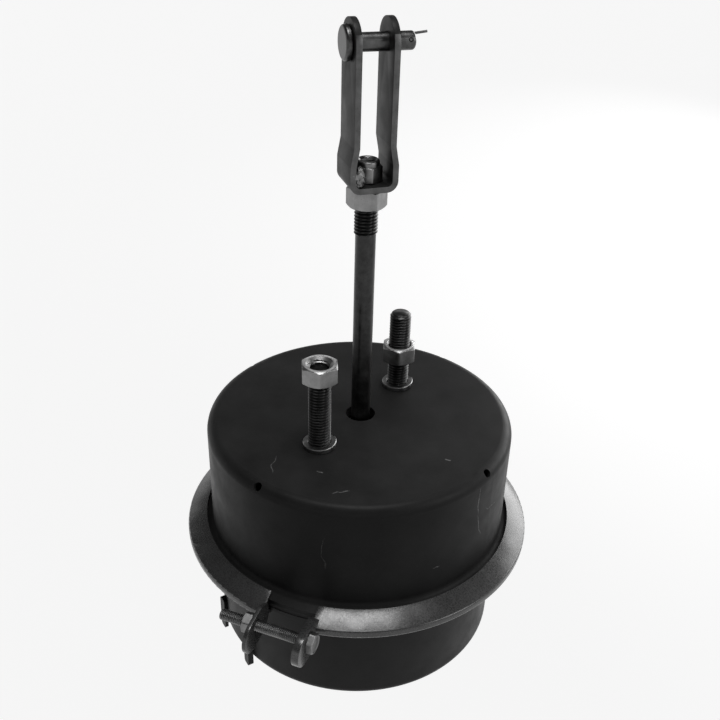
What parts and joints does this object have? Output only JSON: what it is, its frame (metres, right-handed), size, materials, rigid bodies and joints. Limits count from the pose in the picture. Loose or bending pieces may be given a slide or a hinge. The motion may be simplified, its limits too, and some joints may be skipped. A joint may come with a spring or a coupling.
{
  "type": "vacuum brake chamber",
  "caption": "Round vacuum brake chamber: two pressed housings held by a clamp band, mounting studs, and a push rod with a clevis that the sprung diaphragm pulls in.",
  "frame": {"origin": "middle of the mounting face, where the push rod's axis crosses it", "axes": "+Z along the push rod, out of the chamber; the two mounting studs stand on the Y axis"},
  "size_m": [0.199, 0.219, 0.3519],
  "materials": {
    "black_paint": "satin black paint",
    "black_stud": "black painted thread",
    "zinc": "zinc plated",
    "zinc_dull": "dull zinc",
    "dark_zinc": "dull dark zinc",
    "band_steel": "glossy black on rolled steel",
    "diaphragm_rubber": "matt moulded rubber",
    "plate_steel": "pressed sheet steel",
    "spring_steel": "oiled spring wire",
    "rod_steel": "dark drawn steel",
    "clevis_steel": "dark scale with sheared edges",
    "pin_steel": "dark turned steel",
    "gasket": "fibre gasket"
  },
  "bodies": {
    "chamber": {"upper_housing": "black_paint", "lower_housing": "black_paint", "stud_plate": "black_paint", "mounting_stud_front": "black_stud", "mounting_stud_rear": "black_stud", "split_washer_front": "zinc", "split_washer_rear": "zinc", "mounting_nut_front": "zinc", "mounting_nut_rear": "zinc", "clamp_band": "band_steel", "clamp_bolt": "zinc_dull", "clamp_nut": "zinc_dull", "diaphragm": "diaphragm_rubber", "lower_spring_seat": "plate_steel", "return_spring": "spring_steel", "port_pad": "black_paint", "port_gasket": "gasket", "port_plate": "black_paint", "port_screws": "zinc_dull", "edge_lugs": "black_paint"},
    "rod": {"push_rod": "rod_steel", "rod_upper_nut": "zinc", "rod_lower_nut": "zinc", "upper_diaphragm_plate": "plate_steel", "lower_diaphragm_plate": "plate_steel", "upper_spring_seat": "plate_steel", "clevis_jam_nut": "zinc", "clevis": "clevis_steel", "clevis_lock_nut": "dark_zinc"},
    "pin": {"clevis_pin": "pin_steel", "cotter_pin": "pin_steel"}
  },
  "joints": [
    {"name": "rod_stroke", "type": "slide", "parent": "chamber", "child": "rod", "axis": [0, 0, -1], "range_m": [0, 0.0635], "stiffness_N_per_m": 700, "springref_m": -0.09, "deforming": ["diaphragm", "return_spring"]},
    {"name": "pin_turn", "type": "hinge", "parent": "rod", "child": "pin", "pos_m": [0, 0, 0.2004], "axis": [0.6088, 0.7934, 0], "continuous": true}
  ]
}
